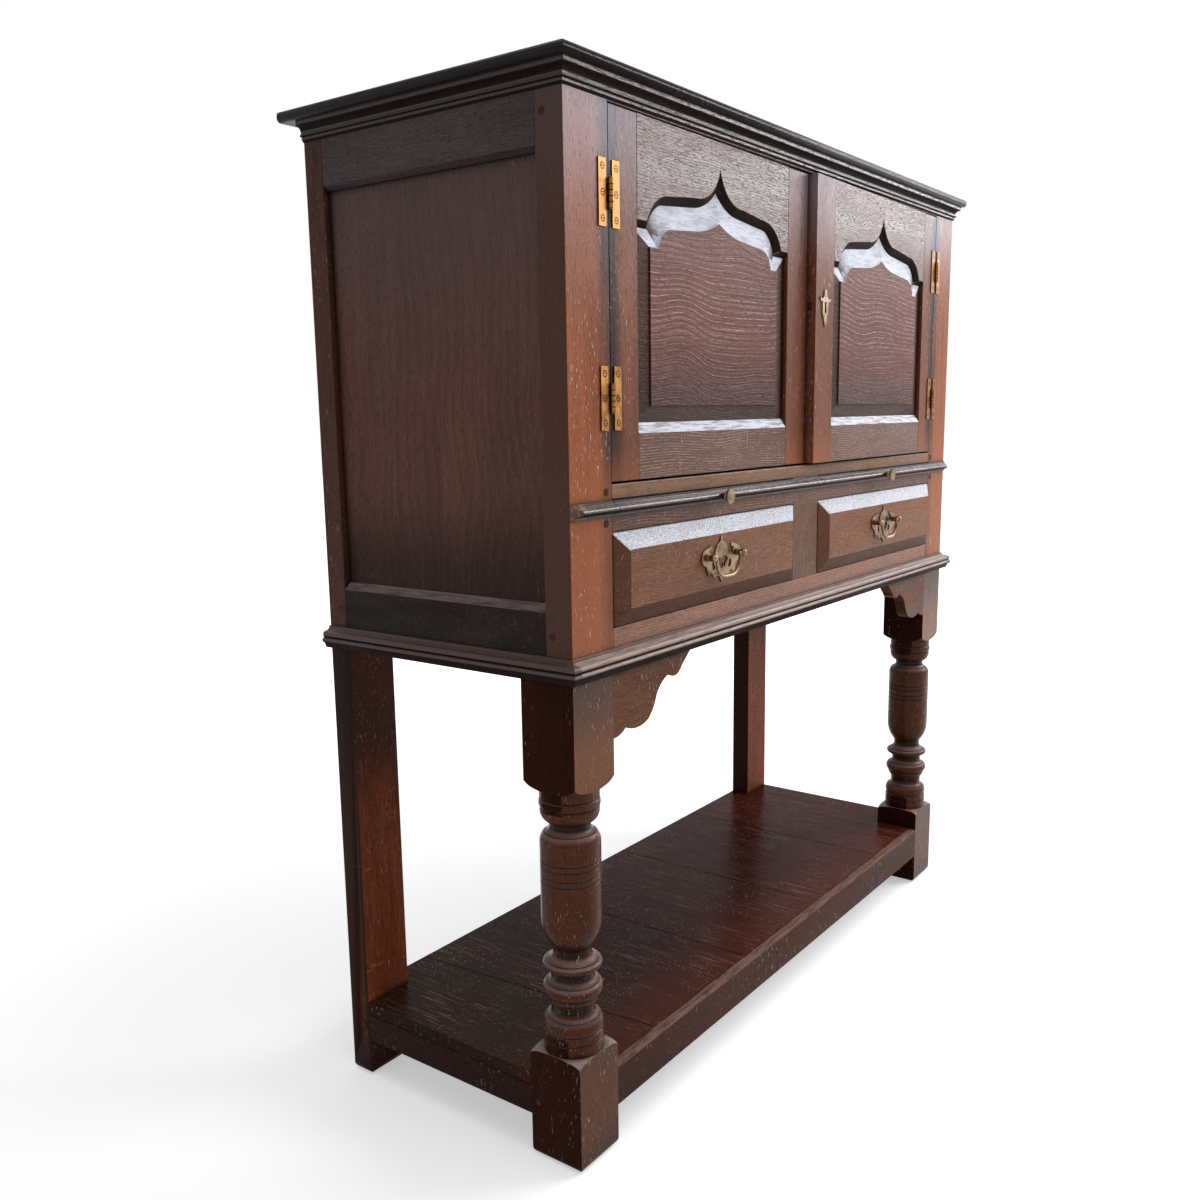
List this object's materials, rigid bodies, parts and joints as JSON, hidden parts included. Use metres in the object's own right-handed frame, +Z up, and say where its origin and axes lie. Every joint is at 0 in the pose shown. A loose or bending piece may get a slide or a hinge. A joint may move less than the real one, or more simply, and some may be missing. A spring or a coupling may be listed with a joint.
{
  "type": "court cupboard",
  "caption": "Oak court cupboard: panelled case with arched fielded doors, pull-out slides and drawers on an open stand with turned front legs and a low board.",
  "frame": {"origin": "on the floor, under the middle of the whole piece's outline", "axes": "+Z up, +X to the viewer's right when facing the doors, +Y from the doors to the back"},
  "size_m": [1.262, 0.488, 1.3665],
  "materials": {
    "oak_front": "waxed",
    "oak_dark": "waxed",
    "oak_inside": "dry",
    "hinge_brass": "polished",
    "old_brass": "aged",
    "lock_iron": "dull"
  },
  "bodies": {
    "case": {"top_board": "oak_dark", "cornice_moulding": "oak_dark", "front_stiles": "oak_front", "rear_stiles": "oak_dark", "side_rails": "oak_dark", "side_panels": "oak_dark", "head_rail": "oak_front", "door_sill_rail": "oak_front", "drawer_top_rail": "oak_front", "drawer_bottom_rail": "oak_front", "drawer_muntin": "oak_front", "slide_divider": "oak_front", "waist_moulding": "oak_front", "base_moulding": "oak_front", "cupboard_floor": "oak_inside", "inner_shelf": "oak_inside", "shelf_cleats": "oak_inside", "back_boards": "oak_inside", "back_rails": "oak_inside", "inner_bearers": "oak_inside", "frame_pegs": "oak_front", "hinge_case_leaves": "hinge_brass", "front_leg_left": "oak_front", "front_leg_right": "oak_front", "rear_legs": "oak_dark", "stand_rails": "oak_front", "leg_brackets": "oak_front", "potboard_front_rear_rails": "oak_dark", "potboard_side_rails": "oak_dark", "potboard_boards": "oak_dark"},
    "left_door": {"left_door_hinge_stile": "oak_front", "left_door_meeting_stile": "oak_front", "left_door_top_rail": "oak_front", "left_door_bottom_rail": "oak_front", "left_door_panel": "oak_front", "left_door_hinge_leaves": "hinge_brass"},
    "right_door": {"right_door_hinge_stile": "oak_front", "right_door_meeting_stile": "oak_front", "right_door_top_rail": "oak_front", "right_door_bottom_rail": "oak_front", "right_door_panel": "oak_front", "right_door_hinge_leaves": "hinge_brass", "right_door_escutcheon": "old_brass", "right_door_lock_case": "lock_iron"},
    "lock_bolt": {"right_door_lock_bolt": "lock_iron"},
    "left_slide": {"left_slide_board": "oak_front", "left_slide_knob": "old_brass"},
    "left_drawer": {"left_drawer_front": "oak_front", "left_drawer_box": "oak_inside", "left_drawer_bottom": "oak_inside", "left_drawer_handle": "old_brass"},
    "left_bail": {"left_drawer_bail": "old_brass"},
    "right_slide": {"right_slide_board": "oak_front", "right_slide_knob": "old_brass"},
    "right_drawer": {"right_drawer_front": "oak_front", "right_drawer_box": "oak_inside", "right_drawer_bottom": "oak_inside", "right_drawer_handle": "old_brass"},
    "right_bail": {"right_drawer_bail": "old_brass"}
  },
  "joints": [
    {"name": "left_door_hinge", "type": "hinge", "parent": "case", "child": "left_door", "pos_m": [-0.526, -0.2178, 1.1065], "axis": [0, 0, -1], "range_deg": [0, 170]},
    {"name": "right_door_hinge", "type": "hinge", "parent": "case", "child": "right_door", "pos_m": [0.526, -0.2178, 1.1065], "axis": [0, 0, 1], "range_deg": [-1.18, 168]},
    {"name": "lock_bolt_slide", "type": "slide", "parent": "right_door", "child": "lock_bolt", "axis": [-0.9998, -0.0206, 0], "range_m": [0, 0.009]},
    {"name": "left_slide_pull", "type": "slide", "parent": "case", "child": "left_slide", "axis": [0, -1, 0], "range_m": [0, 0.24]},
    {"name": "left_drawer_pull", "type": "slide", "parent": "case", "child": "left_drawer", "axis": [0, -1, 0], "range_m": [0, 0.32]},
    {"name": "left_bail_lift", "type": "hinge", "parent": "left_drawer", "child": "left_bail", "pos_m": [-0.28425, -0.2385, 0.775], "axis": [-1, 0, 0], "range_deg": [0, 95]},
    {"name": "right_slide_pull", "type": "slide", "parent": "case", "child": "right_slide", "axis": [0, -1, 0], "range_m": [0, 0.24]},
    {"name": "right_drawer_pull", "type": "slide", "parent": "case", "child": "right_drawer", "axis": [0, -1, 0], "range_m": [0, 0.32]},
    {"name": "right_bail_lift", "type": "hinge", "parent": "right_drawer", "child": "right_bail", "pos_m": [0.28425, -0.2385, 0.775], "axis": [-1, 0, 0], "range_deg": [0, 95]}
  ]
}
